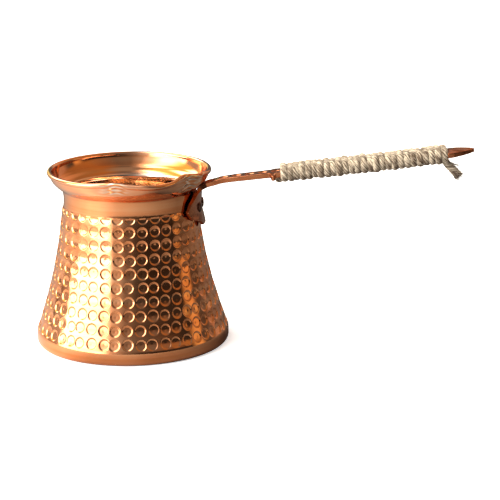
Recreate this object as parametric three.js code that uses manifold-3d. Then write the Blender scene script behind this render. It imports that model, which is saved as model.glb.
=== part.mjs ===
// A Turkish coffee pot (cezve): a copper body with a flared pouring collar, and a riveted
// copper handle whose grip is wound with jute twine.
//
// Millimetres. +Z is up, the handle points along +X, and the origin is the centre of the
// base, on the plane that the pot stands on. Azimuths are in degrees about Z, from -Y
// towards +X, so the handle is at 90.

import * as THREE from "three";
import { mergeVertices } from "three/addons/utils/BufferGeometryUtils.js";
import Module from "manifold-3d";

// ---------------------------------------------------------------- driving dimensions

const CLEARANCE = 0.3; // between neighbouring pieces

// Body: one sheet of copper, spun to a waisted bell
const WALL = 1.2;
const BASE_RADIUS = 45;
const BASE_CORNER = 2.4; // radius of the bend between base and wall
const WAIST = [
  [45.0, 3.4],
  [43.9, 8.5],
  [41.0, 17.8],
  [37.5, 30.0],
  [34.3, 44.0],
  [32.1, 57.5],
  [31.1, 66.0],
];
const CREASE = [31.1, 73.0]; // sharp inward fold where the collar starts
const COLLAR = [
  [33.6, 74.8],
  [35.4, 76.6],
  [36.3, 78.1],
];
const BEAD_CENTRE = [36.8, 80.85]; // the rolled edge round the mouth
const BEAD_RADIUS = 1.15;
const BODY_SIDES = 60;
const WAIST_STEPS = 9;

// Pouring lip: the collar is pushed out at the spout and pinched in on both sides of it
const LIP_DENTS = [
  { azimuth: 26, width: 11, push: 2.4, lift: 0.0 },
  { azimuth: -4, width: 15, push: -1.5, lift: 0.8 },
  { azimuth: 54, width: 10, push: -2.0, lift: 1.8 },
  { azimuth: 73, width: 12, push: 0.0, lift: 0.8 },
];

// Handle: a flat bar that bends down into a shield-shaped plate
const BAR_THICKNESS = 2.3;
const BAR_PATH = [
  [32.6, 68.8],
  [33.1, 71.4],
  [34.7, 73.5],
  [38.6, 75.9],
  [46.7, 77.6],
  [74.5, 81.1],
  [120.2, 86.8],
  [158.0, 92.1],
];

// The bar seen from above, as distance from the pot's axis and half its width: narrow by
// the pot, then an ear on each side that keeps the winding from sliding off, the grip under
// the winding, two more ears, and the pointed tip
const GRIP_HALF = 5.2;
const STEM = [
  [30.0, 3.2],
  [44.0, 3.2],
  [56.0, 4.0],
  [65.4, 4.0],
];
const NEAR_EAR = [
  [66.5, 5.4],
  [67.4, 6.9],
  [68.1, 7.2],
  [69.1, 7.2],
];
const FAR_EAR = [
  [66.5, 4.4],
  [67.4, 5.0],
  [69.1, 5.0],
];
const GRIP_AND_TIP = [
  [69.3, GRIP_HALF],
  [146.4, GRIP_HALF],
  [147.2, 6.5],
  [150.0, 6.1],
  [153.6, 4.6],
  [156.6, 2.5],
  [158.0, 0.9],
];

// The plate is a shield that follows the neck: its face in profile, and half its outline
// as degrees away from the handle and height
const PLATE_FACE = [
  [35.1, 56.2],
  [34.3, 60.0],
  [33.6, 63.0],
  [33.4, 67.0],
  [33.4, 75.0],
];
const PLATE_THICKNESS = 1.7;
const PLATE_SIDES = 120;
const PLATE_EDGE = [
  [0, 56.6],
  [11.9, 58.9],
  [25.0, 61.2],
  [29.0, 64.6],
  [25.0, 68.2],
  [16.5, 71.9],
  [8.0, 73.6],
];

// Rivets
const RIVET_HEIGHT = 65;
const RIVET_SPREAD = 8; // degrees each side of the handle
const SHANK_RADIUS = 1.5;
const HEAD_RADIUS = 2.3;
const HEAD_EDGE = 0.1; // height of the head's edge
const HEAD_HEIGHT = 0.7; // and of its middle
const RIVET_SIDES = 16;

// Twine
const TWINE = 2.4; // diameter
const WINDING_START = 69.7;
const WINDING_END = 146.0;
const TAIL = [
  [146.4, -2.4, 85.3],
  [148.2, -2.6, 83.7],
  [149.9, -2.7, 82.0],
  [151.4, -2.8, 80.2],
];

// ---------------------------------------------------------------- helpers

const wasm = await Module();
wasm.setup();

const COPPER = { color: 0xc9713f, metalness: 1.0, roughness: 0.22 };
const DARK_COPPER = { color: 0x9c5a3a, metalness: 1.0, roughness: 0.35 };
const JUTE = { color: 0xc4ae8b, metalness: 0.0, roughness: 0.95 };

// A closed geometry as a solid, with shared corners merged and collapsed faces dropped.
function solidOf(geometry) {
  const bare = geometry.clone();
  bare.deleteAttribute("normal");
  bare.deleteAttribute("uv");
  const merged = mergeVertices(bare, 1e-4);
  const corners = merged.index.array;
  const kept = [];
  for (let i = 0; i < corners.length; i += 3) {
    const [a, b, c] = corners.slice(i, i + 3);
    if (a !== b && b !== c && c !== a) kept.push(a, b, c);
  }
  return new wasm.Manifold(
    new wasm.Mesh({
      numProp: 3,
      vertProperties: new Float32Array(merged.attributes.position.array),
      triVerts: new Uint32Array(kept),
    }),
  );
}

function geometryOf(solid) {
  const { vertProperties, triVerts } = solid.getMesh();
  const geometry = new THREE.BufferGeometry();
  geometry.setAttribute("position", new THREE.BufferAttribute(vertProperties, 3));
  geometry.setIndex(new THREE.BufferAttribute(triVerts, 1));
  geometry.computeVertexNormals();
  return geometry;
}

function piece(name, geometry, finish) {
  const mesh = new THREE.Mesh(geometry, new THREE.MeshStandardMaterial(finish));
  mesh.name = name;
  return mesh;
}

const point = ([x, y]) => new THREE.Vector2(x, y);

// Points spread evenly along an arc, from one angle to another, in degrees.
function arc([x, y], radius, from, to, steps) {
  return Array.from({ length: steps + 1 }, (_, i) => {
    const angle = THREE.MathUtils.degToRad(from + ((to - from) * i) / steps);
    return new THREE.Vector2(x + radius * Math.cos(angle), y + radius * Math.sin(angle));
  });
}

// A profile of radius and height, turned about Z. Its seam is at azimuth 0.
function turned(profile, sides) {
  return new THREE.LatheGeometry(profile, sides).rotateX(Math.PI / 2);
}

// Moves each point of an outline along the normal of the line through its neighbours:
// to the right of the way it runs when the distance is positive.
function offset(outline, distance) {
  return outline.map((at, i) => {
    const before = outline[Math.max(i - 1, 0)];
    const after = outline[Math.min(i + 1, outline.length - 1)];
    const along = after.clone().sub(before).normalize();
    return new THREE.Vector2(at.x + along.y * distance, at.y - along.x * distance);
  });
}

// ---------------------------------------------------------------- body

const corner = [BASE_RADIUS - BASE_CORNER, BASE_CORNER];
const waist = new THREE.SplineCurve(WAIST.map(point)).getPoints(WAIST_STEPS);
const outerWall = [
  ...arc(corner, BASE_CORNER, -90, 0, 4),
  ...waist,
  point(CREASE),
  ...COLLAR.map(point),
];
const bead = arc(BEAD_CENTRE, BEAD_RADIUS, -60, 200, 7);

function bodyGeometry() {
  const innerCorner = BASE_CORNER - WALL;
  const innerWall = [
    ...arc([corner[0], WALL + innerCorner], innerCorner, -90, 0, 2),
    ...offset(waist, -WALL),
    new THREE.Vector2(CREASE[0] - WALL, CREASE[1]),
    ...offset(COLLAR.map(point), -WALL),
  ];
  const profile = [
    new THREE.Vector2(0, 0),
    ...outerWall,
    ...bead,
    ...innerWall.reverse(),
    new THREE.Vector2(0, WALL),
  ];
  const geometry = turned(profile, BODY_SIDES);
  shapeLip(geometry);
  return geometry;
}

// Dents fade in from the crease to the rim.
function shapeLip(geometry) {
  const at = geometry.attributes.position;
  const rim = BEAD_CENTRE[1];
  for (let i = 0; i < at.count; i++) {
    const [x, y, z] = [at.getX(i), at.getY(i), at.getZ(i)];
    const radius = Math.hypot(x, y);
    if (z <= CREASE[1] || radius === 0) continue;
    const share = Math.min((z - CREASE[1]) / (rim - CREASE[1]), 1);
    const azimuth = THREE.MathUtils.radToDeg(Math.atan2(x, -y));
    let [push, lift] = [0, 0];
    for (const dent of LIP_DENTS) {
      const away = (azimuth - dent.azimuth) / dent.width;
      const weight = Math.exp(-away * away) * share;
      push += dent.push * weight;
      lift += dent.lift * weight;
    }
    at.setXYZ(i, x * (1 + push / radius), y * (1 + push / radius), z + lift);
  }
}

// ---------------------------------------------------------------- handle

const barLine = new THREE.SplineCurve(BAR_PATH.map(point));

// The bar seen from the side, extruded well past both edges.
function barSide() {
  const centre = barLine.getPoints(36);
  const outline = [
    ...offset(centre, BAR_THICKNESS / 2),
    ...offset(centre, -BAR_THICKNESS / 2).reverse(),
  ];
  const depth = 6 * GRIP_HALF;
  return new THREE.ExtrudeGeometry(new THREE.Shape(outline), { depth, bevelEnabled: false })
    .rotateX(Math.PI / 2)
    .translate(0, depth / 2, 0);
}

// The bar seen from above, extruded up past its whole height.
function barPlan() {
  const near = [...STEM, ...NEAR_EAR, ...GRIP_AND_TIP].map(([x, y]) => [x, -y]);
  const far = [...STEM, ...FAR_EAR, ...GRIP_AND_TIP];
  const shape = new THREE.Shape([...near.reverse(), ...far].map(point));
  const depth = 1.2 * BAR_PATH.at(-1)[1];
  return new THREE.ExtrudeGeometry(shape, { depth, bevelEnabled: false });
}

// The plate: a ring that follows the neck, cut by a wedge that spreads out from the pot's
// axis with the shield's outline, so that the plate's edges are square to its face.
function plateSolid() {
  const outer = PLATE_FACE.map(point);
  const inner = outer.map(({ x, y }) => new THREE.Vector2(x - PLATE_THICKNESS, y));
  const ring = turned([...outer, ...inner.reverse(), outer[0]], PLATE_SIDES);

  const half = new THREE.SplineCurve(PLATE_EDGE.map(point)).getPoints(16);
  const slopes = half.map(({ x, y }) => [Math.tan(THREE.MathUtils.degToRad(x)), y]);
  const mirrored = slopes.map(([slope, y]) => [-slope, y]).reverse();
  const shield = new THREE.Shape([...slopes, ...mirrored.slice(0, -1)].map(point));
  const [near, far] = [25, 40]; // from well inside the ring to outside it
  const wedge = new THREE.ExtrudeGeometry(shield, { depth: far - near, bevelEnabled: false })
    .rotateX(Math.PI / 2)
    .rotateZ(Math.PI / 2)
    .translate(near, 0, 0);
  const at = wedge.attributes.position;
  for (let i = 0; i < at.count; i++) {
    at.setY(i, at.getY(i) * at.getX(i));
  }
  return solidOf(ring).intersect(solidOf(wedge));
}

// The body's outside, grown by the clearance, to be cut from the handle.
function neckRoom() {
  const grown = offset([...outerWall, ...bead.slice(0, 5)], CLEARANCE);
  const top = grown[grown.length - 1];
  const profile = [
    new THREE.Vector2(0, -CLEARANCE),
    ...grown,
    new THREE.Vector2(0, top.y),
  ];
  return solidOf(turned(profile, BODY_SIDES));
}

// ---------------------------------------------------------------- rivets

const rivetAzimuths = { rivet_front: 90 - RIVET_SPREAD, rivet_rear: 90 + RIVET_SPREAD };

// Places a geometry made along +Z so that it points outwards at a rivet.
function atRivet(geometry, azimuth) {
  return geometry
    .rotateY(Math.PI / 2)
    .translate(0, 0, RIVET_HEIGHT)
    .rotateZ(THREE.MathUtils.degToRad(azimuth - 90));
}

function rivetHole(azimuth) {
  const radius = SHANK_RADIUS + CLEARANCE;
  const length = 20;
  const drill = new THREE.CylinderGeometry(radius, radius, length, RIVET_SIDES)
    .rotateX(Math.PI / 2)
    .translate(0, 0, PLATE_FACE[2][0]);
  return solidOf(atRivet(drill, azimuth));
}

// A shank with a domed head on both ends; the radius here is measured from the pot's axis.
function rivetGeometry(azimuth) {
  const inside = CREASE[0] - WALL - CLEARANCE;
  const outside = PLATE_FACE[2][0] + CLEARANCE / 2;
  const dome = (share) => HEAD_HEIGHT * Math.cos((share * Math.PI) / 2);
  const shares = [0, 0.35, 0.65, 0.9];
  const profile = [
    ...shares.map((s) => new THREE.Vector2(HEAD_RADIUS * s, inside - dome(s))),
    new THREE.Vector2(HEAD_RADIUS, inside - HEAD_EDGE),
    new THREE.Vector2(HEAD_RADIUS, inside),
    new THREE.Vector2(SHANK_RADIUS, inside),
    new THREE.Vector2(SHANK_RADIUS, outside),
    new THREE.Vector2(HEAD_RADIUS, outside),
    new THREE.Vector2(HEAD_RADIUS, outside + HEAD_EDGE),
    ...shares.reverse().map((s) => new THREE.Vector2(HEAD_RADIUS * s, outside + dome(s))),
  ];
  return atRivet(turned(profile, RIVET_SIDES), azimuth);
}

// ---------------------------------------------------------------- twine

// The bar's centre line between two distances from the pot's axis, as a curve in space.
function gripLine(from, to) {
  const inside = barLine.getPoints(4000).filter(({ x }) => x >= from && x <= to);
  const kept = inside.filter((_, i) => i % 100 === 0 || i === inside.length - 1);
  return new THREE.CatmullRomCurve3(kept.map(({ x, y }) => new THREE.Vector3(x, 0, y)));
}

// The outer shape of the winding: a flat-sided ring round the bar, with rounded edges.
function windingGeometry() {
  const halfHeight = BAR_THICKNESS / 2 + TWINE;
  const centre = GRIP_HALF + TWINE - halfHeight;
  const outline = new THREE.Shape([
    ...arc([centre, 0], halfHeight, -90, 90, 8),
    ...arc([-centre, 0], halfHeight, 90, 270, 8),
  ]);
  const [w, h] = [GRIP_HALF + CLEARANCE, BAR_THICKNESS / 2 + CLEARANCE];
  outline.holes.push(
    new THREE.Path([
      new THREE.Vector2(-w, -h),
      new THREE.Vector2(-w, h),
      new THREE.Vector2(w, h),
      new THREE.Vector2(w, -h),
    ]),
  );
  return new THREE.ExtrudeGeometry(outline, {
    steps: 12,
    extrudePath: gripLine(WINDING_START, WINDING_END),
  });
}

function tailGeometry() {
  const line = new THREE.CatmullRomCurve3(TAIL.map((p) => new THREE.Vector3(...p)));
  const section = new THREE.Shape(arc([0, 0], TWINE / 2, 0, 360, 8).slice(0, 8));
  return new THREE.ExtrudeGeometry(section, { steps: 4, extrudePath: line });
}

// ---------------------------------------------------------------- assembly

const holes = Object.values(rivetAzimuths).map(rivetHole);
const drilled = (solid) => holes.reduce((left, hole) => left.subtract(hole), solid);

const bodySolid = drilled(solidOf(bodyGeometry()));
const barSolid = solidOf(barSide()).intersect(solidOf(barPlan()));
const handleSolid = drilled(barSolid.add(plateSolid()).subtract(neckRoom()));

const pot = new THREE.Group();
pot.add(piece("pot_body", geometryOf(bodySolid), COPPER));
pot.add(piece("handle", geometryOf(handleSolid), COPPER));
for (const [name, azimuth] of Object.entries(rivetAzimuths)) {
  pot.add(piece(name, rivetGeometry(azimuth), DARK_COPPER));
}
pot.add(piece("twine_winding", windingGeometry(), JUTE));
pot.add(piece("twine_tail", tailGeometry(), JUTE));

export default pot;
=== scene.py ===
"""A Turkish coffee pot (cezve): the looks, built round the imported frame.

+Z up, the handle along +X, the origin at the centre of the base. Azimuths are in degrees
about Z from -Y towards +X, as in the CAD. The pot's sizes are in millimetres, and
make_object turns them into metres. The camera, the light, the floor and the scales of the
textures are in metres, apart from the jute's, which follows the "strand" attribute in
millimetres across the twine and along it.
"""

import math

import bpy
import numpy as np
from mathutils import Matrix, Vector


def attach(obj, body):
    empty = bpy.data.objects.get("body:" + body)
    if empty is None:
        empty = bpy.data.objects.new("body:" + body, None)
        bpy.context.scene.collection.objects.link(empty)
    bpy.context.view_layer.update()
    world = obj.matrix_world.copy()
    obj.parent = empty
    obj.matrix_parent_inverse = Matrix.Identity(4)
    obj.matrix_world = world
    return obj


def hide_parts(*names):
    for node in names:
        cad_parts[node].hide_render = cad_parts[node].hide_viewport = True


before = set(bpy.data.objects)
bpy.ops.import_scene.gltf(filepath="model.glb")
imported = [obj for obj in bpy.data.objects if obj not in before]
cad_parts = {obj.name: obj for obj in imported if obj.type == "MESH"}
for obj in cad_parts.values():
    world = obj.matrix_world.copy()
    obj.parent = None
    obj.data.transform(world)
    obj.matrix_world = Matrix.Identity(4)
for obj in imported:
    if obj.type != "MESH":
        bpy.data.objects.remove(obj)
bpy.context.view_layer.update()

MM = 0.001  # metres

# ------------------------------------------------------------------ sizes, in millimetres

WALL = 1.2
BASE_RADIUS = 45.0
BASE_CORNER = 2.4
INNER_CORNER = 2.0
END_FACE = 0.6  # radius of the small faces that close the base and the floor at the axis
FOOT_TOP = 7.0  # the plain foot is below this, and the hammered wall above it

# The outside, as radius and height: the wall, the neck at the depth of the marks' floors,
# the fold where the collar starts, and the collar
WAIST = [(45.0, 3.2), (44.97, 4.8), (44.85, 6.2), (44.4, 7.6), (43.4, 10.2), (41.0, 17.8),
         (37.5, 30.0), (34.4, 44.0), (32.3, 57.5), (31.2, 65.6)]
NECK = [(30.86, 65.4), (30.75, 66.6), (30.68, 68.0), (30.68, 69.5), (30.85, 71.2), (31.2, 72.6)]
CREASE = (31.1, 73.0)
COLLAR_FOOT = (31.45, 73.1)  # just above the crease
COLLAR = [(33.6, 74.8), (35.4, 76.6), (36.3, 78.1)]
UNDER_BEAD = [(36.7, 79.0), (36.85, 79.5), (36.95, 79.75)]

# The inside of the collar, from the rolled edge down, with two low steps in it
INNER_COLLAR = [(35.6, 80.0), (35.2, 78.8), (34.7, 77.6), (34.1, 76.5), (33.5, 75.8),
                (33.2, 75.5), (33.0, 75.15), (32.5, 74.75), (31.2, 73.65), (30.2, 72.4)]
BEAD_CENTRE = (36.8, 80.85)
BEAD_RADIUS = 1.15
BEAD_ARC = (-60, 175)  # degrees

# The pouring lip and the pinches beside it: middle and width in degrees, how far the rolled
# edge is pushed out there, and how far it is lifted
LIP_DENTS = [
    {"azimuth": 26, "width": 11, "push": 2.4, "lift": 0.0},
    {"azimuth": -4, "width": 15, "push": -1.5, "lift": 0.8},
    {"azimuth": 54, "width": 10, "push": -2.0, "lift": 1.8},
    {"azimuth": 73, "width": 12, "push": 0.0, "lift": 0.8},
]

# Fine creases where the collar is pinched: middle and width in degrees, the height that
# they start at, and how much they climb, in millimetres a degree
PLEATS = [
    {"azimuth": -3, "width": 11, "low": 76.5, "climb": 0.0, "seed": 41},
    {"azimuth": 62, "width": 14, "low": 74.3, "climb": -0.06, "seed": 45},
]
PLEAT_PITCH, PLEAT_DEPTH = 1.6, 0.24
PLEAT_FADE = 1.5  # over how much height they set in
PLEAT_WANDER = 0.8
PLEATS_END = (79.3, 80.3)  # they fade out just below the rolled edge

# Hammering: ten rows of round punch marks, the top one running out into the plain neck
PIT_ROWS = 10
TOP_ROW = 65.0
ROW_PITCH = 6.15
PIT_PITCH = 5.7
PIT_RADIUS = 2.6
PIT_DEPTH = 0.42
PIT_FLOOR = 0.80  # share of the radius where the rim starts to rise
PIT_HOLLOW = 0.10  # how far the floor curves up before its rim
PIT_DOT = (0.04, 0.22)  # depth of the dot in the middle, and its share of the radius
PIT_AZIMUTH = -2.0  # every row has a mark near here
PIT_WANDER_ROUND, PIT_WANDER_UP = 0.28, 0.12
WALL_LEAN = 1.03  # length down the sloping wall over the height
HAMMERED_BEYOND = 20  # nothing nearer the axis than this is hammered
MARKS_SET_IN = (2.5, 4.0)  # the lowest marks fade out over these heights
NECK_EDGE = 64.7  # where the lands between the marks run down to the neck's level
NECK_EDGE_HALF = 0.6  # they do so from this far below it to this far above
NECK_START = 65.25  # the hammered wall ends here
INSIDE_SHARE = 0.3  # how much of a mark shows on the inside of the wall
INSIDE_MARKS = (6.0, 7.0), (64.6, 66.0)  # where they set in and fade out there

# Where the copper is painted pale: on the collar a little and on the whole inside below the
# collar for wear, and on the crests of its creases most, as a painted highlight where they
# catch the light
COLLAR_RUBBED, COLLAR_RUBBED_FROM = 0.18, (73.6, 75.6)
CREST_PAINTED_HIGHLIGHT = (0.45, 0.95)  # the mean of the painted highlight over a patch of creases, and the swing about it
INSIDE_RUBBED_TO = (71.2, 73.6)

# The centre line of the handle, as distance from the axis and height: up the plate, round
# the bend and out to the tip
BAR_LINE = [(34.25, 56.4), (33.45, 60.0), (32.75, 63.0), (32.5, 66.0), (32.6, 68.8),
            (32.7, 71.6), (33.6, 73.4), (36.0, 74.8), (39.8, 75.9), (46.7, 77.5), (74.5, 81.1),
            (120.2, 86.8), (158.0, 92.1)]
GRIP_HALF_WIDTH = 5.2
BAR_THICKNESS = 2.3
BAR_STRAIGHT_FROM = 40  # distance from the axis at which the bend is over

TWINE = 2.4
PLIES = 7
PLY_REACH, PLY_RADIUS = 0.74, 0.33  # where each ply lies and its size, as shares of the radius
TWIST = 9.5  # length of one full twist
TURNS = 27
WINDING_START, WINDING_END = 68.5, 146.2
TWINE_CORNER = 1.9  # the radius at which the twine goes round the bar's edges
WANDER = 0.42  # how far the turns stray along the bar
LUMPS, SMALL_LUMPS = 0.62, 0.3  # how far some turns stand proud of others
LAST_STRETCH = 18  # the length that leaves the winding in a bend
FRAY_LENGTH = 7.5
FLAT_WIDE, FLAT_THICK = 1.36, 1.02  # the twine is pressed flat on the bar
TAIL = [(146.4, -2.4, 85.3), (148.2, -2.6, 83.7), (149.9, -2.7, 82.0), (151.4, -2.8, 80.2)]

FUZZ_FIBRES, FUZZ_RADIUS, FUZZ_LENGTHS = 620, 0.055, (1.0, 3.2)
FRAYED_FIBRES, FRAYED_RADIUS, FRAYED_LENGTHS = 150, 0.13, (4.6, 6.6)
FRAYED_OPENING = 0.17  # how much the brush widens over its length
FRAYED_SCATTER = 0.22  # how far the fibres' roots stray from their line
FIBRE_TAPER = 0.7
# One strand of the frayed end has come loose above the others
LOOSE_FIBRES = 16
LOOSE_START = np.array([146.4, -4.6, 87.4])
LOOSE_HEADING = np.array([1.0, -0.02, -0.38])

RIVET_HEIGHT = 65.0
RIVET_SPREAD = 8.0  # degrees to each side of the handle
RIVET_RADIUS = 2.3
RIVET_SHANK = 1.5
PLATE_FACE = 33.55  # how far the plate's face is from the axis at the rivets


# ------------------------------------------------------------------ numbers and curves

def smooth(value, low, high):
    """0 below low, 1 above high, with a soft step between them."""
    share = np.clip((np.asarray(value, float) - low) / (high - low), 0, 1)
    return share * share * (3 - 2 * share)


def spline(points, per_span):
    """A Catmull-Rom curve through points, with per_span steps between each two."""
    points = np.asarray(points, float)
    last = len(points) - 1
    made = []
    for i in range(last):
        p0, p1, p2, p3 = (points[min(max(i + k, 0), last)] for k in (-1, 0, 1, 2))
        t = np.linspace(0, 1, per_span, endpoint=False)[:, None]
        v0, v1 = (p2 - p0) / 2, (p3 - p1) / 2
        made.append((2 * p1 - 2 * p2 + v0 + v1) * t**3
                    + (-3 * p1 + 3 * p2 - 2 * v0 - v1) * t**2 + v0 * t + p1)
    made.append(points[-1:])
    return np.concatenate(made)


def lengths_along(line):
    return np.concatenate([[0], np.cumsum(np.linalg.norm(np.diff(line, axis=0), axis=1))])


def even(line, step):
    """The same line with its points about step apart."""
    along = lengths_along(line)
    wanted = np.linspace(0, along[-1], max(2, int(round(along[-1] / step)) + 1))
    return np.stack([np.interp(wanted, along, line[:, k]) for k in range(line.shape[1])], 1)


def unit(vectors):
    return vectors / np.maximum(np.linalg.norm(vectors, axis=-1, keepdims=True), 1e-12)


def arc(centre, radius, start, end, steps):
    angles = np.radians(np.linspace(start, end, steps + 1))
    return np.stack([centre[0] + radius * np.cos(angles), centre[1] + radius * np.sin(angles)], 1)


def wave_noise(values, seed, waves=6, longest=1.0):
    """Smooth seeded noise of one variable, between about -1 and 1."""
    random = np.random.default_rng(seed)
    total = np.zeros_like(np.asarray(values, float))
    for k in range(waves):
        length = longest / (1 + 0.7 * k)
        total += random.uniform(0.5, 1) * np.sin(
            2 * np.pi * (values / length + random.uniform())) / (1 + 0.4 * k)
    return total / waves * 1.6


# ------------------------------------------------------------------ meshes

def make_object(name, points, faces, material):
    """An object of points in millimetres, riding on the pot."""
    mesh = bpy.data.meshes.new(name)
    mesh.from_pydata((np.asarray(points) * MM).tolist(), [], [list(f) for f in faces])
    mesh.polygons.foreach_set("use_smooth", [True] * len(mesh.polygons))
    mesh.update()
    piece = bpy.data.objects.new(name, mesh)
    bpy.context.scene.collection.objects.link(piece)
    mesh.materials.append(material)
    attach(piece, "root")
    return piece


def ring_faces(rows, columns, first=0):
    """Faces of a grid of points whose columns close into a ring, row after row."""
    row = np.arange(rows - 1)[:, None] * columns + first
    column = np.arange(columns)[None, :]
    after = (column + 1) % columns
    quads = np.stack([row + column, row + after, row + columns + after, row + columns + column], -1)
    return quads.reshape(-1, 4)


def tube_faces(rows, columns, first=0):
    """The same with a face across each end."""
    start = [first + k for k in range(columns)]
    end = [(rows - 1) * columns + index for index in start]
    return ring_faces(rows, columns, first).tolist() + [start[::-1], end]


def point_attribute(piece, name, vectors):
    layer = piece.data.attributes.new(name, "FLOAT_VECTOR", "POINT")
    layer.data.foreach_set("vector", np.asarray(vectors, np.float32).ravel())


# ------------------------------------------------------------------ nodes

def feed(tree, socket, value):
    """Links a socket to another one, or sets its value."""
    if isinstance(value, bpy.types.NodeSocket):
        tree.links.new(value, socket)
    else:
        socket.default_value = value


def set_inputs(tree, node, **values):
    """Sets or links a node's inputs by name, with _ for a space."""
    for name, value in values.items():
        feed(tree, node.inputs[name.replace("_", " ")], value)


def add_node(tree, kind, **values):
    """A node with its settings and its inputs' values or links set by name."""
    node = tree.nodes.new(kind)
    for name, value in values.items():
        if hasattr(node, name):
            setattr(node, name, value)
        else:
            set_inputs(tree, node, **{name: value})
    return node


def maths(tree, operation, *values):
    node = tree.nodes.new("ShaderNodeMath")
    node.operation = operation
    for socket, value in zip(node.inputs, values):
        feed(tree, socket, value)
    return node.outputs[0]


def noise(tree, vector, scale, detail=4.0, roughness=0.55):
    node = add_node(tree, "ShaderNodeTexNoise", Vector=vector, Scale=scale, Detail=detail,
                    Roughness=roughness)
    return node.outputs["Fac"]


def stretched(tree, vector, scale):
    return add_node(tree, "ShaderNodeMapping", Vector=vector, Scale=scale).outputs[0]


def ramp(tree, factor, *stops):
    """A colour ramp; each stop is a position and a grey level or a colour."""
    node = tree.nodes.new("ShaderNodeValToRGB")
    tree.links.new(factor, node.inputs[0])
    elements = node.color_ramp.elements
    while len(elements) < len(stops):
        elements.new(0.5)
    for element, (position, level) in zip(elements, stops):
        colour = (level,) * 3 if isinstance(level, (int, float)) else level
        element.position, element.color = position, (*colour, 1)
    return node.outputs[0]


def mixed(tree, share, one, other):
    """Two colours mixed; each is a socket or a grey level."""
    mix = add_node(tree, "ShaderNodeMix", data_type="RGBA", Factor=share)
    for socket, value in ((mix.inputs[6], one), (mix.inputs[7], other)):
        feed(tree, socket, (value,) * 3 + (1,) if isinstance(value, float) else value)
    return mix.outputs[2]


def multiplied(tree, one, other):
    """Two colour sockets multiplied."""
    mix = add_node(tree, "ShaderNodeMix", data_type="RGBA", blend_type="MULTIPLY", Factor=1.0)
    tree.links.new(one, mix.inputs[6])
    tree.links.new(other, mix.inputs[7])
    return mix.outputs[2]


def by_azimuth(tree, axes, stops):
    """A ramp by the azimuth of a direction, whose axes are sockets."""
    azimuth = maths(tree, "ARCTAN2", axes["X"], maths(tree, "MULTIPLY", axes["Y"], -1.0))
    turn = maths(tree, "ADD", maths(tree, "DIVIDE", azimuth, 2 * math.pi), 0.5)
    return ramp(tree, turn, *[((angle + 180) / 360, level) for angle, level in stops])


def object_place(tree):
    return add_node(tree, "ShaderNodeTexCoord").outputs["Object"]


def attribute(tree, name, output):
    return add_node(tree, "ShaderNodeAttribute", attribute_name=name).outputs[output]


def new_material(name):
    material = bpy.data.materials.new(name)
    material.use_nodes = True
    tree = material.node_tree
    return material, tree, tree.nodes["Principled BSDF"]


def bump(tree, shader, height, strength, distance):
    made = add_node(tree, "ShaderNodeBump", Height=height, Strength=strength, Distance=distance)
    tree.links.new(made.outputs[0], shader.inputs["Normal"])


# ------------------------------------------------------------------ materials

# Dark, middle and bright tones of each surface
COPPER_TONES = (0.80, 0.28, 0.105), (0.92, 0.36, 0.155), (0.96, 0.44, 0.21)
# Pale copper for wear, and for the painted highlight on the crests of the collar's creases; the
# silvery grey below is only reached in that painted highlight
PALE_WEAR_AND_HIGHLIGHT_TONES = (0.96, 0.70, 0.52), (0.98, 0.76, 0.58)
SILVERY_PAINTED_HIGHLIGHT = 0.92
HANDLE_TONES = (0.38, 0.12, 0.05), (0.50, 0.17, 0.072), (0.57, 0.22, 0.10)
RIVET_TONES = (0.06, 0.03, 0.022), (0.17, 0.08, 0.055)
JUTE_TONES = (0.13, 0.08, 0.046), (0.95, 0.79, 0.58)
FRAYED_TONES = (0.13, 0.085, 0.055), (0.40, 0.29, 0.19)
# Painted shade in the hollows between the twine's plies
GROOVE_PAINTED_SHADE = (0.16, 0.10, 0.06)


def hammered_copper():
    """Copper polished by use, with fine rings from turning, made pale where the attribute says
    so: wear, and a painted highlight on the crests of the collar's creases, which is almost
    silvery where that is over 1."""
    material, tree, shader = new_material("hammered_copper")
    place = object_place(tree)
    cloud = noise(tree, place, 45.0)
    rings = noise(tree, stretched(tree, place, (30, 30, 2600)), 1.0, detail=3.0)
    bands = noise(tree, stretched(tree, place, (8, 8, 420)), 1.0, detail=2.0)
    tone = maths(tree, "ADD", maths(tree, "MULTIPLY", cloud, 0.4),
                 maths(tree, "MULTIPLY", bands, 0.6))
    colour = ramp(tree, tone, *zip((0.36, 0.5, 0.64), COPPER_TONES))
    # How pale the copper is painted: wear, and a painted highlight on the crests of the collar's
    # creases
    share = attribute(tree, "wear_and_highlight", "Fac")
    pale = ramp(tree, cloud, *zip((0.3, 0.7), PALE_WEAR_AND_HIGHLIGHT_TONES))
    rubbed_and_highlight = mixed(tree, share, colour, pale)
    silvery = mixed(tree, maths(tree, "SUBTRACT", share, 1.0), rubbed_and_highlight, SILVERY_PAINTED_HIGHLIGHT)
    smear = noise(tree, place, 160.0, detail=6.0)
    rough = ramp(tree, maths(tree, "MULTIPLY", smear, rings), (0.1, 0.06), (0.45, 0.12))
    set_inputs(tree, shader, Base_Color=silvery, Metallic=1.0, Roughness=rough)
    grain = noise(tree, place, 900.0, detail=3.0)
    height = maths(tree, "ADD", maths(tree, "MULTIPLY", rings, 0.5), grain)
    bump(tree, shader, height, 0.09, 0.0001)
    return material


def handle_copper():
    """Darker copper, with fine lines along the bar."""
    material, tree, shader = new_material("handle_copper")
    place = object_place(tree)
    cloud = noise(tree, place, 140.0, detail=6.0)
    colour = ramp(tree, cloud, *zip((0.3, 0.45, 0.7), HANDLE_TONES))
    draw = noise(tree, stretched(tree, place, (60, 1500, 1500)), 1.0, detail=4.0)
    rough = ramp(tree, draw, (0.3, 0.14), (0.7, 0.26))
    set_inputs(tree, shader, Base_Color=colour, Metallic=1.0, Roughness=rough)
    grain = noise(tree, place, 700.0, detail=5.0)
    bump(tree, shader, maths(tree, "ADD", draw, grain), 0.25, 0.00015)
    return material


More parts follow.
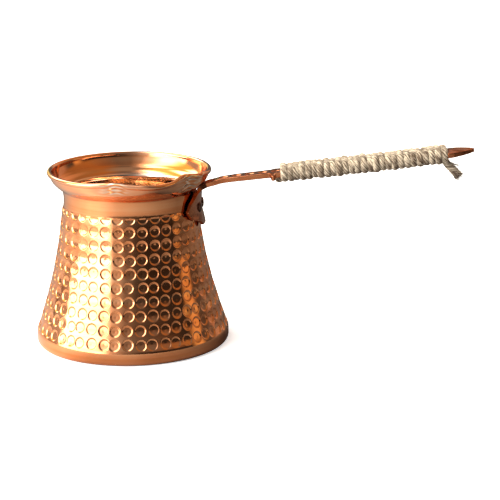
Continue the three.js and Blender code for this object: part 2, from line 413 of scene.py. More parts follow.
def rivet_copper():
    """Nearly black copper, tarnished and a little rough."""
    material, tree, shader = new_material("rivet_copper")
    place = object_place(tree)
    cloud = noise(tree, place, 500.0, detail=6.0)
    colour = ramp(tree, cloud, *zip((0.35, 0.65), RIVET_TONES))
    rough = ramp(tree, cloud, (0.3, 0.42), (0.7, 0.3))
    set_inputs(tree, shader, Base_Color=colour, Metallic=1.0, Roughness=rough)
    bump(tree, shader, noise(tree, place, 1800.0, detail=4.0), 0.35, 0.0001)
    return material


def jute(name, dark, light):
    """Jute: long pale fibres that follow the twist, with brown ones and gaps between them, and
    painted shade in the hollows between its plies.
    """
    material, tree, shader = new_material(name)
    strand = attribute(tree, "strand", "Vector")
    fibres = noise(tree, stretched(tree, strand, (2.6, 2.6, 0.3)), 1.0, detail=5.0, roughness=0.75)
    patches = noise(tree, stretched(tree, strand, (0.6, 0.6, 0.12)), 1.0, detail=2.0)
    shade = maths(tree, "ADD", maths(tree, "MULTIPLY", fibres, 0.75),
                  maths(tree, "MULTIPLY", patches, 0.25))
    middle = tuple((a + b) / 2 for a, b in zip(dark, light))
    colour = ramp(tree, shade, (0.455, dark), (0.52, middle), (0.585, light))
    # Painted shade in the hollows between the plies, and darker towards the frayed end
    shadow = ramp(tree, attribute(tree, "groove_shade", "Fac"), (0.74, GROOVE_PAINTED_SHADE), (0.97, 1.0))
    set_inputs(tree, shader, Base_Color=multiplied(tree, colour, shadow), Roughness=0.85,
               Specular_IOR_Level=0.25, Sheen_Weight=0.25, Sheen_Roughness=0.5)
    bump(tree, shader, fibres, 0.7, 0.0003)
    return material


def floor_material():
    """White to the camera. The light that it throws back on the pot fades to the right."""
    material, tree, shader = new_material("plain_floor")
    camera_ray = add_node(tree, "ShaderNodeLightPath").outputs["Is Camera Ray"]
    place = object_place(tree)
    axes = add_node(tree, "ShaderNodeSeparateXYZ", Vector=place).outputs
    length = add_node(tree, "ShaderNodeVectorMath", operation="LENGTH", Vector=place)
    away = length.outputs["Value"]
    near_start, near_end = TABLE_UNDER_POT
    under_pot = ramp(tree, away, (near_start, UNDER_POT_SHARE), (near_end, 1.0))
    near = multiplied(tree, by_azimuth(tree, axes, TABLE_NEAR), under_pot)
    far_start, far_end = TABLE_TURNS_FAR
    far_share = ramp(tree, away, (far_start, 0.0), (far_end, 1.0))
    table = mixed(tree, far_share, near, by_azimuth(tree, axes, TABLE_FAR))
    set_inputs(tree, shader, Base_Color=mixed(tree, camera_ray, table, 1.0), Roughness=0.9,
               Specular_IOR_Level=0.0, Emission_Color=(1, 1, 1, 1),
               Emission_Strength=maths(tree, "MULTIPLY", camera_ray, FLOOR_GLOW))
    return material


# ------------------------------------------------------------------ camera and surroundings

CAMERA_AT = (0.13472, -0.85060, 0.27090)
CAMERA_TURNS = (-5.31, 14.90, -0.49)  # heading from +Y towards +X, pitch down, and roll
CAMERA_LENS, CAMERA_SENSOR = 137.16, 36.0  # millimetres


def make_camera():
    heading, pitch, roll = (math.radians(turn) for turn in CAMERA_TURNS)
    forward = Vector((math.sin(heading) * math.cos(pitch), math.cos(heading) * math.cos(pitch),
                      -math.sin(pitch)))
    level = Vector((math.cos(heading), -math.sin(heading), 0))
    above = level.cross(forward)
    right = math.cos(roll) * level + math.sin(roll) * above
    up = -math.sin(roll) * level + math.cos(roll) * above
    data = bpy.data.cameras.new("camera")
    data.lens, data.sensor_width = CAMERA_LENS, CAMERA_SENSOR
    camera = bpy.data.objects.new("camera", data)
    turn = Matrix((right, up, -forward)).transposed()
    camera.matrix_world = Matrix.Translation(CAMERA_AT) @ turn.to_4x4()
    bpy.context.scene.collection.objects.link(camera)
    bpy.context.scene.camera = camera


STUDIO_STRENGTH = 6.0
# Azimuth, and the grey level or colour of the studio there, near the horizon: a wide
# softbox at the left of the front, dark round to the right, and dim warm and green walls at
# the right and the back
STUDIO_LOW = [(-180, 0.02), (-168, 0.02), (-156, (0.19, 0.19, 0.08)), (-128, (0.19, 0.18, 0.10)),
              (-118, 0.09), (-92, 0.10), (-84, 1.0), (-33, 1.0), (-20, 0.15), (-2, 0.045),
              (14, 0.015), (30, 0.006), (82, 0.006), (91, (0.13, 0.09, 0.04)),
              (98, (0.15, 0.10, 0.045)), (105, 0.015), (116, 0.02), (128, (0.085, 0.062, 0.048)),
              (160, (0.10, 0.072, 0.053)), (170, 0.02), (180, 0.02)]
# The same higher up: the softbox is narrower, and a second one stands at the left of the back
STUDIO_HIGH = [(-180, (0.14, 0.09, 0.06)), (-165, 0.03), (-150, 0.05), (-138, 0.9), (-122, 0.9),
               (-112, (0.27, 0.23, 0.08)), (-93, (0.27, 0.23, 0.08)), (-78, (0.6, 0.5, 0.3)),
               (-66, 1.0), (-48, 1.0), (-35, 0.38), (-12, 0.09), (6, 0.035), (30, 0.03),
               (80, (0.07, 0.04, 0.015)), (130, (0.06, 0.04, 0.02)), (165, (0.14, 0.09, 0.06)),
               (180, (0.14, 0.09, 0.06))]
STUDIO_TOP = 0.05  # straight above
# Where the studio turns from low to high, and from high to the top, as the sine of elevation
LOW_TO_HIGH, HIGH_TO_TOP = (0.24, 0.36), (0.93, 0.99)

# How much light the table sends back towards the pot, by azimuth: close to it, and further
# away, where it is bright only at the left
TABLE_NEAR = [(-180, 0.05), (-160, 0.10), (-130, 0.40), (-90, 0.72), (-60, 1.0), (-45, 0.95),
              (-25, 0.62), (-13, 0.49), (25, 0.33), (61, 0.21), (94, 0.13), (130, 0.16),
              (180, 0.09)]
TABLE_FAR = [(-180, 0.04), (-155, 0.06), (-110, 0.12), (-88, 0.40), (-70, 1.0), (-40, 0.9),
             (-22, 0.15), (0, 0.04), (80, 0.02), (94, 0.08), (120, 0.06), (180, 0.05)]
# The distances from the pot's axis over which the near table turns into the far one, and
# over which it recovers from the pot's own shade
TABLE_TURNS_FAR = (0.70, 1.0)
TABLE_UNDER_POT, UNDER_POT_SHARE = (0.05, 0.11), 0.8
FLOOR_GLOW = 0.6  # emission to the camera, so that the floor is white
FLOOR_HALF = 6.0

KEY_LIGHT_AT, KEY_LIGHT_TARGET = (-0.9, -1.0, 1.5), (0.05, 0, 0.05)
KEY_LIGHT_SIZE, KEY_LIGHT_WATTS = 1.4, 16.0


def make_studio():
    """A world that is bright where a studio has its softboxes. The camera sees it white."""
    world = bpy.data.worlds.new("studio")
    bpy.context.scene.world = world
    world.use_nodes = True
    tree = world.node_tree
    tree.nodes.clear()
    towards = add_node(tree, "ShaderNodeTexCoord").outputs["Generated"]
    axes = add_node(tree, "ShaderNodeSeparateXYZ", Vector=towards).outputs
    high, top = (ramp(tree, axes["Z"], (start, 0.0), (end, 1.0))
                 for start, end in (LOW_TO_HIGH, HIGH_TO_TOP))
    wall = mixed(tree, high, by_azimuth(tree, axes, STUDIO_LOW),
                 by_azimuth(tree, axes, STUDIO_HIGH))
    light = mixed(tree, top, wall, STUDIO_TOP)
    lit = add_node(tree, "ShaderNodeBackground", Color=light, Strength=STUDIO_STRENGTH)
    seen = add_node(tree, "ShaderNodeBackground", Color=(1, 1, 1, 1), Strength=1.0)
    camera_ray = add_node(tree, "ShaderNodeLightPath").outputs["Is Camera Ray"]
    either = tree.nodes.new("ShaderNodeMixShader")
    tree.links.new(camera_ray, either.inputs[0])
    tree.links.new(lit.outputs[0], either.inputs[1])
    tree.links.new(seen.outputs[0], either.inputs[2])
    out = tree.nodes.new("ShaderNodeOutputWorld")
    tree.links.new(either.outputs[0], out.inputs["Surface"])


def make_key_light():
    """A round softbox. It lights the twine and casts the shadow, and the copper doesn't
    reflect it."""
    data = bpy.data.lights.new("key_light", "AREA")
    data.shape, data.size, data.energy = "DISK", KEY_LIGHT_SIZE, KEY_LIGHT_WATTS
    light = bpy.data.objects.new("key_light", data)
    light.location = KEY_LIGHT_AT
    aim = Vector(KEY_LIGHT_TARGET) - Vector(KEY_LIGHT_AT)
    light.rotation_euler = aim.to_track_quat("-Z", "Y").to_euler()
    light.visible_camera = False
    light.visible_glossy = False
    bpy.context.scene.collection.objects.link(light)


def make_floor():
    half = FLOOR_HALF
    corners = [(-half, -half, 0), (half, -half, 0), (half, half, 0), (-half, half, 0)]
    mesh = bpy.data.meshes.new("floor")
    mesh.from_pydata(corners, [], [(0, 1, 2, 3)])
    mesh.materials.append(floor_material())
    floor = bpy.data.objects.new("floor", mesh)
    bpy.context.scene.collection.objects.link(floor)


# ------------------------------------------------------------------ twine

bar_line = even(spline(BAR_LINE, 40), 0.05)


def bar_height(x):
    """Height of the bar's centre line at a distance x from the pot's axis."""
    upper = bar_line[bar_line[:, 0] > BAR_STRAIGHT_FROM]
    return np.interp(x, upper[:, 0], upper[:, 1])


def around_bar(share, half_width, half_height, corner):
    """Points and outward directions (across, up) round a rounded rectangle, by share."""
    flat_w, flat_h = half_width - corner, half_height - corner
    pieces = [2 * flat_w, math.pi / 2 * corner, 2 * flat_h, math.pi / 2 * corner] * 2
    ends = np.cumsum(pieces)
    walked = (share % 1.0) * ends[-1]
    side = np.searchsorted(ends, walked, side="right")
    into = walked - np.concatenate([[0], ends])[side]
    # The walk starts at the bottom, on the near side, and goes under the bar to the far one
    corners = np.array([(flat_w, -flat_h), (flat_w, flat_h), (-flat_w, flat_h), (-flat_w, -flat_h)])
    quarter = side // 2
    straight = side % 2 == 0
    begin = np.radians(-90 + 90 * quarter)
    turn = begin + np.where(straight, 0, into / corner)
    out = np.stack([np.cos(turn), np.sin(turn)], 1)
    forward = np.stack([-np.sin(begin), np.cos(begin)], 1)
    from_corner = corners[(quarter - 1) % 4]
    line = from_corner + forward * into[:, None] + out * corner
    bend = corners[quarter % 4] + out * corner
    return np.where(straight[:, None], line, bend), out


def twine_route():
    """The twine's centre line, in millimetres, and the direction away from the bar."""
    steps_a_turn = 40
    count = TURNS * steps_a_turn + 1
    turn = np.linspace(0, TURNS, count)
    first = WINDING_START + TWINE / 2
    last = WINDING_END - TWINE / 2
    x = first + (last - first) * turn / TURNS
    x = x + WANDER * wave_noise(turn, 5, longest=3.3)
    lump = (LUMPS * wave_noise(turn, 11, longest=5.3)
            + SMALL_LUMPS * wave_noise(turn, 12, longest=1.9))
    at, out = around_bar(turn, GRIP_HALF_WIDTH + TWINE / 2, BAR_THICKNESS / 2 + TWINE / 2,
                         TWINE_CORNER)
    at = at + out * lump[:, None]
    centre = np.stack([x, at[:, 0], bar_height(x) + at[:, 1]], 1)
    away = np.stack([np.zeros(count), out[:, 0], out[:, 1]], 1)
    tail = spline([centre[-1], *TAIL], 12)[1:]
    centre = np.concatenate([centre, tail])
    away = np.concatenate([away, np.tile([0.0, -1.0, -0.1], (len(tail), 1))])
    return centre, away


def relax(line, passes):
    """Draws the points of a line towards their neighbours, in place."""
    for _ in range(passes):
        line[1:-1] = (line[:-2] + 2 * line[1:-1] + line[2:]) / 4


def twine_frames(step):
    """The twine's centre line with points about step apart, and the frame at each one."""
    centre, away = twine_route()
    both = np.concatenate([centre, away], 1)
    along = lengths_along(centre)
    wanted = np.linspace(0, along[-1], int(along[-1] / step))
    both = np.stack([np.interp(wanted, along, both[:, k]) for k in range(6)], 1)
    centre, away = both[:, :3], both[:, 3:]
    relax(centre, 6)  # the twine is too stiff to follow the bar's corners exactly
    relax(centre[-int(LAST_STRETCH / step):], 60)  # and it leaves the winding in a bend
    tangent = unit(np.gradient(centre, axis=0))
    away = unit(away - tangent * np.sum(away * tangent, 1, keepdims=True))
    side = np.cross(tangent, away)
    return centre, tangent, away, side, lengths_along(centre)


def lobed(angle):
    """Radius of the round plies laid together, as a share of the twine's radius."""
    share = 2 * np.pi / PLIES
    into = (angle + share / 2) % share - share / 2
    hidden = PLY_REACH * np.sin(into)
    return PLY_REACH * np.cos(into) + np.sqrt(np.maximum(PLY_RADIUS**2 - hidden**2, 0))


def make_twine(material):
    """One twisted cord from the first turn to the frayed end, with its path and length."""
    around = 56
    centre, _, away, side, along = twine_frames(step=0.26)
    total = along[-1]
    angle = np.linspace(0, 2 * np.pi, around, endpoint=False)[None, :]
    slip = 0.5 * wave_noise(along, 21, longest=31)[:, None]
    ply = angle - 2 * np.pi * along[:, None] / TWIST - slip
    fray = smooth(along, total - FRAY_LENGTH, total)[:, None]
    # Plies of unequal size, laid unevenly, then lumps along the whole twine
    shape = lobed(ply) * (1 + 0.07 * np.cos(ply + along[:, None] / 3.0))
    loose = 1 + wave_noise(along, 23, longest=7.0)[:, None]
    shape = shape + 0.05 * loose * np.cos(2 * ply + 2 * np.pi * along[:, None] / 5.0)
    # The plies' depth, kept for the painted shade in the hollows between them, and made darker
    # towards the frayed end
    groove_shade = shape * (1 - 0.16 * fray)
    shape = shape * (1 + 0.12 * wave_noise(along, 22, longest=9.0)[:, None])
    wide = TWINE / 2 * (FLAT_WIDE + 0.25 * fray)
    thick = TWINE / 2 * (FLAT_THICK - 0.62 * fray)
    points = (centre[:, None] + side[:, None] * (np.cos(angle) * shape * wide)[..., None]
              + away[:, None] * (np.sin(angle) * shape * thick)[..., None])
    faces = tube_faces(len(centre), around)
    twine = make_object("twine", points.reshape(-1, 3), faces, material)
    strand = np.stack([np.cos(ply) * TWINE / 2, np.sin(ply) * TWINE / 2,
                       np.repeat(along[:, None], around, 1)], -1)
    point_attribute(twine, "strand", strand.reshape(-1, 3))
    point_attribute(twine, "groove_shade", np.repeat(groove_shade.reshape(-1, 1), 3, 1))
    path = even(centre, TWINE / 2) * MM
    return twine, path, total * MM


def make_fibres(name, material, starts, headings, bends, lengths, radius):
    """Fine curved fibres: three-sided tubes that taper, all in one mesh."""
    segments, sides = 5, 3
    t = np.linspace(0, 1, segments + 1)[None, :, None]
    line = (starts[:, None] + headings[:, None] * t * lengths[:, None, None]
            + bends[:, None] * (t * t) * lengths[:, None, None])
    tangent = unit(np.gradient(line, axis=1))
    helper = np.where(np.abs(tangent[..., 2:]) < 0.8, [0.0, 0.0, 1.0], [1.0, 0.0, 0.0])
    side = unit(np.cross(tangent, helper))
    other = np.cross(tangent, side)
    angle = np.linspace(0, 2 * np.pi, sides, endpoint=False)
    taper = radius * (1 - FIBRE_TAPER * t[..., None])
    points = (line[:, :, None] + taper * (side[:, :, None] * np.cos(angle)[:, None]
                                          + other[:, :, None] * np.sin(angle)[:, None]))
    faces = []
    per_fibre = (segments + 1) * sides
    for k in range(len(starts)):
        faces += tube_faces(segments + 1, sides, k * per_fibre)
    piece = make_object(name, points.reshape(-1, 3), faces, material)
    # Each fibre has its own place in the texture of the jute
    which = np.repeat(np.arange(len(starts)), per_fibre)
    share = np.tile(np.repeat(t.ravel(), sides), len(starts))
    strand = np.stack([which * 1.7, which * 0.9, share], 1)
    point_attribute(piece, "strand", strand)
    point_attribute(piece, "groove_shade", np.ones_like(strand))
    return piece


def make_fuzz(material):
    """Loose fibre ends that stand off the winding."""
    random = np.random.default_rng(31)
    count = FUZZ_FIBRES
    centre, tangent, away, side, _ = twine_frames(step=0.32)
    first, last = 5, len(centre) - 30  # clear of both ends
    pick = random.integers(first, last, count)
    lean = random.uniform(-1.1, 1.1, count)[:, None]
    out = unit(away[pick] * np.cos(lean) + side[pick] * np.sin(lean))
    starts = centre[pick] + out * TWINE * 0.5
    spin = random.normal(0, 0.45, (count, 3))
    headings = unit(out * random.uniform(0.15, 0.7, (count, 1))
                    + tangent[pick] * random.choice([-1, 1], (count, 1)) + spin * 0.5)
    bends = spin * 0.5 - out * 0.15
    return make_fibres("twine_fuzz", material, starts, headings, bends,
                       random.uniform(*FUZZ_LENGTHS, count), FUZZ_RADIUS)


def make_frayed_end(material):
    """The cut end of the twine, opened out into a flat brush."""
    random = np.random.default_rng(37)
    count = FRAYED_FIBRES
    tail = spline(TAIL, 12)
    run = unit(tail[-1] - tail[0])
    across = unit(np.cross(run, [0.0, -1.0, 0.1]))
    spread = random.uniform(-1, 1, count)[:, None]
    root = tail[10]
    starts = root + across * spread + random.normal(0, FRAYED_SCATTER, (count, 3))
    opened = run + across * spread * FRAYED_OPENING
    headings = unit(opened + random.normal(0, 0.05, (count, 3)))
    bends = random.normal(0, 0.06, (count, 3))
    lengths = random.uniform(*FRAYED_LENGTHS, count)
    loose = slice(0, LOOSE_FIBRES)
    starts[loose] = LOOSE_START + random.normal(0, FRAYED_SCATTER, (LOOSE_FIBRES, 3))
    headings[loose] = unit(LOOSE_HEADING + random.normal(0, 0.04, (LOOSE_FIBRES, 3)))
    return make_fibres("twine_frayed_end", material, starts, headings, bends, lengths,
                       FRAYED_RADIUS)


# ------------------------------------------------------------------ pot body

def outer_profile():
    """Radius and height of the outside, from the middle of the base to the rolled edge."""
    base = np.stack([np.linspace(END_FACE, BASE_RADIUS - BASE_CORNER, 9), np.zeros(9)], 1)
    corner = arc((BASE_RADIUS - BASE_CORNER, BASE_CORNER), BASE_CORNER, -90, 0, 8)
    wall = spline([corner[-1], *WAIST], 40)
    foot = even(wall[wall[:, 1] <= FOOT_TOP], 0.4)
    belly = even(wall[(wall[:, 1] > FOOT_TOP) & (wall[:, 1] < NECK_START)], 0.25)
    neck = even(spline(NECK, 20), 0.5)
    collar = even(spline([COLLAR_FOOT, *COLLAR], 20), 0.3)
    bead = arc(BEAD_CENTRE, BEAD_RADIUS, *BEAD_ARC, 24)
    return np.concatenate([base[:-1], corner, foot[1:], belly, neck, collar, UNDER_BEAD, bead])


def inner_profile():
    """The inside, from below the rolled edge down to the middle of the floor."""
    collar = even(spline(INNER_COLLAR, 20), 0.4)
    neck = even(spline(NECK[1:], 20), 0.8)[::-1] - [WALL, 0]
    wall = spline([(BASE_RADIUS, 2.6), *WAIST], 40)[::-1]
    wall = even(wall[wall[:, 1] < NECK_START - 0.5], 0.62) - [WALL, 0]
    inner_radius, corner_top = BASE_RADIUS - WALL, WALL + INNER_CORNER
    corner = arc((inner_radius - INNER_CORNER, corner_top), INNER_CORNER, 0, -90, 5)
    floor = np.stack([np.linspace(inner_radius - 3.5, END_FACE, 12), np.full(12, WALL)], 1)
    return np.concatenate([collar, neck, wall[wall[:, 1] > corner_top + 0.1], corner, floor])


def pits():
    """Azimuth, height, radius and depth of every punch mark."""
    random = np.random.default_rng(7)
    heights, radii = np.array(WAIST)[:, 1], np.array(WAIST)[:, 0]
    made = []
    for row in range(PIT_ROWS):
        z = TOP_ROW - ROW_PITCH * row
        radius = np.interp(z, heights, radii)
        count = int(round(2 * math.pi * radius / PIT_PITCH))
        step = 2 * math.pi / count
        for i in range(count):
            wander = random.normal(0, PIT_WANDER_ROUND) / radius
            azimuth = math.radians(PIT_AZIMUTH) + step * i + wander
            height = z + random.normal(0, PIT_WANDER_UP)
            size, depth = random.uniform(0.94, 1.06), random.uniform(0.8, 1.15)
            made.append((azimuth, height, PIT_RADIUS * size, PIT_DEPTH * depth))
    return made


def pit_shape(away, depth):
    """A punch mark: a nearly flat floor with a dot in the middle, and a steep rim."""
    dot_depth, dot_size = PIT_DOT
    floor = -depth + PIT_HOLLOW * away**2 - dot_depth * np.exp(-(away / dot_size) ** 2)
    return floor * (1 - smooth(away, PIT_FLOOR, 1.0))


def hammered(azimuth, z, radius, wanted):
    """How far the wall is moved out at each point of a grid: below 0, because all marks go
    in."""
    push = -PIT_DEPTH * smooth(z, NECK_EDGE - NECK_EDGE_HALF, NECK_EDGE + NECK_EDGE_HALF)
    push = push[:, None] * np.ones_like(azimuth)[None, :]
    step = azimuth[1] - azimuth[0]
    for pit_azimuth, pit_z, pit_radius, depth in wanted:
        rows = np.nonzero(np.abs(z - pit_z) < pit_radius)[0]
        if not len(rows):
            continue
        reach = int(math.ceil(pit_radius / radius[rows].min() / step)) + 1
        middle = int(round((pit_azimuth - azimuth[0]) / step))
        columns = np.arange(middle - reach, middle + reach + 1)
        turn = azimuth[0] + columns * step - pit_azimuth
        across = radius[rows][:, None] * turn[None, :]
        rise = (z[rows] - pit_z)[:, None] * WALL_LEAN
        away = np.hypot(across, rise) / pit_radius
        bowl = pit_shape(away, depth)
        block = np.ix_(rows, columns % len(azimuth))
        push[block] = np.minimum(push[block], bowl)
    return push


def shape_lip(points, azimuth):
    """Draws the pouring lip out and pinches the collar on both sides of it."""
    degrees = (np.degrees(azimuth) + 180) % 360 - 180
    share = np.clip((points[..., 2] - CREASE[1]) / (BEAD_CENTRE[1] - CREASE[1]), 0, 1)
    outward = np.stack([np.sin(azimuth), -np.cos(azimuth), np.zeros_like(azimuth)], -1)[None]
    push = np.zeros(points.shape[:2])
    lift = np.zeros(points.shape[:2])
    for dent in LIP_DENTS:
        weight = np.exp(-((degrees - dent["azimuth"]) / dent["width"]) ** 2)[None] * share
        push += dent["push"] * weight
        lift += dent["lift"] * weight
    strength, waves = pleats(degrees, points[..., 2])
    below_bead = 1 - smooth(points[..., 2], *PLEATS_END)
    push += PLEAT_DEPTH * strength * waves * below_bead
    points += outward * push[..., None]
    points[..., 2] += lift
    return points


def pleats(degrees, z):
    """The fine creases at the pinches, over a grid: how strong they are, and their waves."""
    strength, waves = np.zeros_like(z), np.zeros_like(z)
    for patch in PLEATS:
        beside = (degrees - patch["azimuth"]) / patch["width"]
        setting_in = smooth(z, patch["low"], patch["low"] + PLEAT_FADE)
        window = np.exp(-beside**4)[None] * setting_in
        wander = PLEAT_WANDER * wave_noise(degrees, patch["seed"], waves=2, longest=26.0)
        level = z + patch["climb"] * (degrees - patch["azimuth"])[None] + wander[None]
        uneven = wave_noise(degrees, patch["seed"] + 1, waves=3, longest=14.0)
        strength += window * (0.8 + 0.4 * uneven[None])
        waves += window * np.sin(2 * np.pi * level / PLEAT_PITCH)
    return strength, waves


def turned_points(profile, columns, push):
    """A profile turned about the axis and moved out along its normals by push, with the lip
    shaped in it."""
    azimuth = np.linspace(0, 2 * np.pi, columns, endpoint=False)
    along = unit(np.gradient(profile, axis=0))
    normal = np.stack([along[:, 1], -along[:, 0]], 1)
    r = profile[:, :1] + normal[:, :1] * push
    z = profile[:, 1:] + normal[:, 1:] * push
    points = np.stack([r * np.sin(azimuth), -r * np.cos(azimuth), z * np.ones_like(r)], -1)
    return shape_lip(points, azimuth)


def wear_and_highlight(points):
    """How pale the outside is painted, over a grid: the collar a little, for wear, and the crests
    of its creases most, as a painted highlight."""
    degrees = np.degrees(np.arctan2(points[0, :, 0], -points[0, :, 1]))
    z = points[..., 2]
    strength, waves = pleats(degrees, z)
    share = COLLAR_RUBBED * smooth(z, *COLLAR_RUBBED_FROM)
    mean, swing = CREST_PAINTED_HIGHLIGHT
    return share * (1 - strength) + strength * (mean + swing * waves)


def make_body(material):
    """The hammered outside and the plainer inside, joined along the rolled edge."""
    columns = 1260
    marks = pits()
    outside = outer_profile()
    r, z = outside[:, 0], outside[:, 1]
    azimuth = np.linspace(0, 2 * np.pi, columns, endpoint=False)
    push = hammered(azimuth, z, np.maximum(r, HAMMERED_BEYOND), marks)
    share = smooth(z, *MARKS_SET_IN) * (z < NECK_START) * (r > HAMMERED_BEYOND)
    outer = turned_points(outside, columns, push * share[:, None])

    coarse = columns // 2
    inside = inner_profile()
    r, z = inside[:, 0], inside[:, 1]
    azimuth = np.linspace(0, 2 * np.pi, coarse, endpoint=False)
    push = -INSIDE_SHARE * hammered(azimuth, z, np.maximum(r, HAMMERED_BEYOND), marks)
    set_in, fade_out = INSIDE_MARKS
    share = smooth(z, *set_in) * (1 - smooth(z, *fade_out))
    inner = turned_points(inside, coarse, push * share[:, None])

    points = np.concatenate([outer.reshape(-1, 3), inner.reshape(-1, 3)])
    faces = ring_faces(len(outer), columns).tolist()
    first = outer.shape[0] * columns
    faces += ring_faces(len(inner), coarse, first).tolist()
    # The seam on the inner side of the rolled edge: two columns outside to each one inside
    seam = first - columns
    for k in range(coarse):
        a, b, c = seam + 2 * k, seam + 2 * k + 1, seam + (2 * k + 2) % columns
        p, q = first + k, first + (k + 1) % coarse
        faces += [[a, b, p], [b, q, p], [b, c, q]]
    faces.append(list(range(columns))[::-1])
    last = first + (len(inner) - 1) * coarse
    faces.append([last + k for k in range(coarse)])
    body = make_object("pot_body_hammered", points, faces, material)
    inner_rubbed = 1 - smooth(inner[..., 2], *INSIDE_RUBBED_TO)
    # Wear on the collar and the inside, and a painted highlight on the crests of the collar's
    # creases
    rubbed_and_highlight = np.concatenate([wear_and_highlight(outer).ravel(), inner_rubbed.ravel()])
    point_attribute(body, "wear_and_highlight", np.repeat(rubbed_and_highlight[:, None], 3, 1))
    return body


# ------------------------------------------------------------------ handle

# Distance along the centre line from the foot of the plate, half the width towards the
# viewer, half the width away from it, and the thickness
STATIONS = [
    (0.0, 3.5, 3.5, 1.5), (0.8, 4.4, 4.4, 1.5), (2.5, 7.1, 7.1, 1.6), (4.9, 14.2, 14.2, 1.5),
    (8.4, 16.4, 16.4, 1.5), (12.0, 13.6, 13.6, 1.6), (15.2, 8.4, 8.4, 1.8),
    (17.6, 4.6, 4.6, 2.1), (20.4, 3.4, 3.4, 2.3), (28.0, 3.2, 3.2, 2.3), (40.1, 3.9, 3.9, 2.3),
    (50.1, 4.0, 4.0, 2.3), (50.8, 6.1, 4.6, 2.3), (51.4, 6.9, 5.0, 2.3), (52.4, 6.9, 5.0, 2.3),
    (52.8, 5.2, 5.1, 2.3), (56.4, 5.2, 5.2, 2.3), (131.0, 5.2, 5.2, 2.3),
    (131.8, 6.5, 6.5, 2.3), (134.4, 6.1, 6.1, 2.2), (138.0, 4.6, 4.6, 2.0),
    (141.6, 2.4, 2.4, 1.8), (142.9, 1.1, 1.1, 1.5),
]
BEND_OUT = (14.0, 24.0)  # where the plate's curve flattens into the bar
BAR_CORNER = 0.25
# The marks struck in the top of the bar, along it, and across it with its near edge below 0
PUNCH_START, PUNCH_PITCH, PUNCHES = 22.5, 6.05, 6
PUNCH_LINE = -0.5
PUNCH_HALF_LENGTH, PUNCH_HALF_WIDTH = 2.2, 1.5
PUNCH_DEPTH, PUNCH_RIM = 0.5, 0.12
# Where the ears and the forged tip are along the bar, and how far they leave its level
EARS_START, EARS_END = (50.0, 51.2), (52.4, 53.0)
EAR_DROOP, EAR_RISE = 0.9, 0.15
TIP_START = (131.5, 134.0)
TIP_BEVEL, TIP_FACET, TIP_FACET_PITCH = 0.9, 0.12, 7.5


def handle_section():
    """Points round the bar's section: a side (-1..1) and a face (-1..1), and for those on a
    corner, how far they lie round it."""
    flat = [-1.0, -0.985, *np.linspace(-0.94, 0.94, 22), 0.985, 1.0]
    edge = [1.0, 0.8, 0.0, -0.8, -1.0]
    bend = np.radians([20, 45, 70])
    points = [(share, 1.0, 0.0, 1.0) for share in flat]
    points += [(1.0, 1.0, math.sin(a), math.cos(a)) for a in bend]
    points += [(1.0, share, 1.0, 0.0) for share in edge]
    points += [(1.0, -1.0, math.cos(a), -math.sin(a)) for a in bend]
    points += [(-share, -1.0, 0.0, -1.0) for share in flat]
    points += [(-1.0, -1.0, -math.sin(a), -math.cos(a)) for a in bend]
    points += [(-1.0, share, -1.0, 0.0) for share in edge[::-1]]
    points += [(-1.0, 1.0, -math.cos(a), math.sin(a)) for a in bend]
    return np.array(points).T


def make_handle(material):
    """One bar, lofted from the foot of the plate up over the bend and out to its tip."""
    line = even(bar_line, 0.3)
    along = lengths_along(line)
    keys = even(np.array(STATIONS), 0.25)
    near, far, thick = (np.interp(along, keys[:, 0], keys[:, k])[:, None] for k in (1, 2, 3))
    tangent = unit(np.gradient(line, axis=0))
    normal = np.stack([-tangent[:, 1], tangent[:, 0]], 1)  # towards the top of the bar
    across, through, out, up = (row[None, :] for row in handle_section())
    half = np.where(across < 0, near, far)
    corner = np.minimum(BAR_CORNER, half * 0.4)
    v = across * (half - corner) + out * corner
    t = through * (thick / 2 - corner) + up * corner
    t = t + (punch_marks(along[:, None], v) + tip_facets(along[:, None], v)) * (up == 1)
    t = t + ears(along[:, None], v)
    curve = (1 - smooth(along, *BEND_OUT))[:, None] / np.maximum(line[:, :1], 1)
    curve = np.maximum(curve, 1e-6)
    x = line[:, :1] - (1 - np.cos(v * curve)) / curve + normal[:, :1] * t * np.cos(v * curve)
    y = np.sin(v * curve) / curve + normal[:, :1] * t * np.sin(v * curve)
    z = line[:, 1:] + normal[:, 1:] * t
    points = np.stack([x, y, z], -1)
    faces = [face[::-1] for face in tube_faces(*v.shape)]
    return make_object("handle_bar_and_plate", points.reshape(-1, 3), faces, material)


def punch_marks(along, across):
    """One row of round marks struck in the top of the bar, each with a raised rim."""
    total = np.zeros(np.broadcast(along, across).shape)
    for k in range(PUNCHES):
        middle = PUNCH_START + PUNCH_PITCH * k
        away = np.hypot((along - middle) / PUNCH_HALF_LENGTH,
                        (across - PUNCH_LINE) / PUNCH_HALF_WIDTH)
        total -= PUNCH_DEPTH * np.maximum(1 - away**3, 0)
        total += PUNCH_RIM * np.exp(-((away - 1.15) / 0.16) ** 2)
    return total


def ears(along, across):
    """The near ear droops, and the far one turns up a little."""
    at_ear = smooth(along, *EARS_START) * (1 - smooth(along, *EARS_END))
    droop = -EAR_DROOP * smooth(-across, 3.8, 6.6)
    rise = EAR_RISE * smooth(across, 3.6, 5.9)
    return at_ear * (droop + rise)


def tip_facets(along, across):
    """The top of the tip, hammered down towards its near edge."""
    forged = TIP_FACET * np.sin(2 * np.pi * (along + 1.5 * across) / TIP_FACET_PITCH)
    bevel = -TIP_BEVEL * smooth(-across, -1.5, 5.5)
    return smooth(along, *TIP_START) * (forged + bevel)


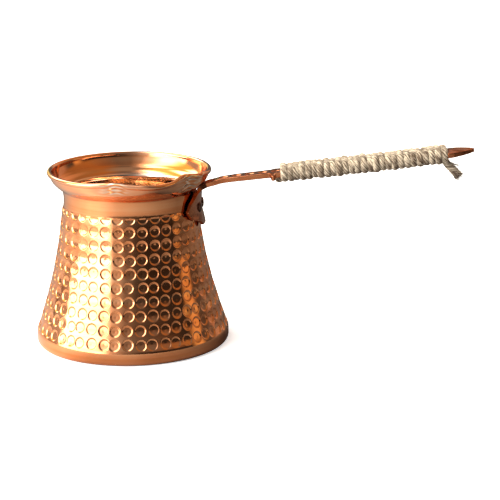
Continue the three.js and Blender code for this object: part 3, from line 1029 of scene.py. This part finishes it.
def make_rivet(name, azimuth_degrees, material):
    """A shank with a hammered dome on the plate and a flatter one inside the pot."""
    sides = 40
    inside, outside = CREASE[0] - WALL, PLATE_FACE
    head, shank = RIVET_RADIUS, RIVET_SHANK
    outer = [(head, outside - 0.3), (head, outside + 0.15), (head * 0.93, outside + 0.35),
             (head * 0.72, outside + 0.55), (head * 0.4, outside + 0.65), (0.05, outside + 0.68)]
    inner = [(0.05, inside - 0.9), (head * 0.4, inside - 0.85), (head * 0.75, inside - 0.65),
             (head, inside - 0.25), (head, inside + 0.1)]
    profile = np.array(inner + [(shank, inside + 0.2), (shank, outside - 0.4)] + outer)
    angle = np.linspace(0, 2 * np.pi, sides, endpoint=False)[None, :]
    radius, reach = profile[:, :1], profile[:, 1:]
    dents = 0.05 * np.sin(3 * angle + azimuth_degrees) + 0.04 * np.sin(5 * angle + 2)
    radius = radius * (1 + dents * (radius > shank))
    across, up = radius * np.cos(angle), radius * np.sin(angle)
    turn = math.radians(azimuth_degrees)
    out = np.array([math.sin(turn), -math.cos(turn), 0])
    level = np.array([math.cos(turn), math.sin(turn), 0])
    points = (out * (reach * np.ones_like(angle))[..., None] + level * across[..., None]
              + np.array([0, 0, 1]) * (RIVET_HEIGHT + up)[..., None])
    faces = tube_faces(len(profile), sides)
    return make_object(name, points.reshape(-1, 3), faces, material)


# ------------------------------------------------------------------ assembly

make_camera()

twine_material = jute("jute_twine", *JUTE_TONES)
fray_material = jute("jute_frayed", *FRAYED_TONES)
twine, twine_path, twine_length = make_twine(twine_material)
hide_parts("twine_winding", "twine_tail")
fuzz = make_fuzz(twine_material)
frayed_end = make_frayed_end(fray_material)

body = make_body(hammered_copper())
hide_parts("pot_body")

handle = make_handle(handle_copper())
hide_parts("handle")

rivet_material = rivet_copper()
for node_name, azimuth in (("rivet_front", 90 - RIVET_SPREAD), ("rivet_rear", 90 + RIVET_SPREAD)):
    rivet = make_rivet(node_name + "_domed", azimuth, rivet_material)
    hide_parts(node_name)

make_studio()
make_key_light()
make_floor()
bpy.context.scene.view_settings.view_transform = "Standard"
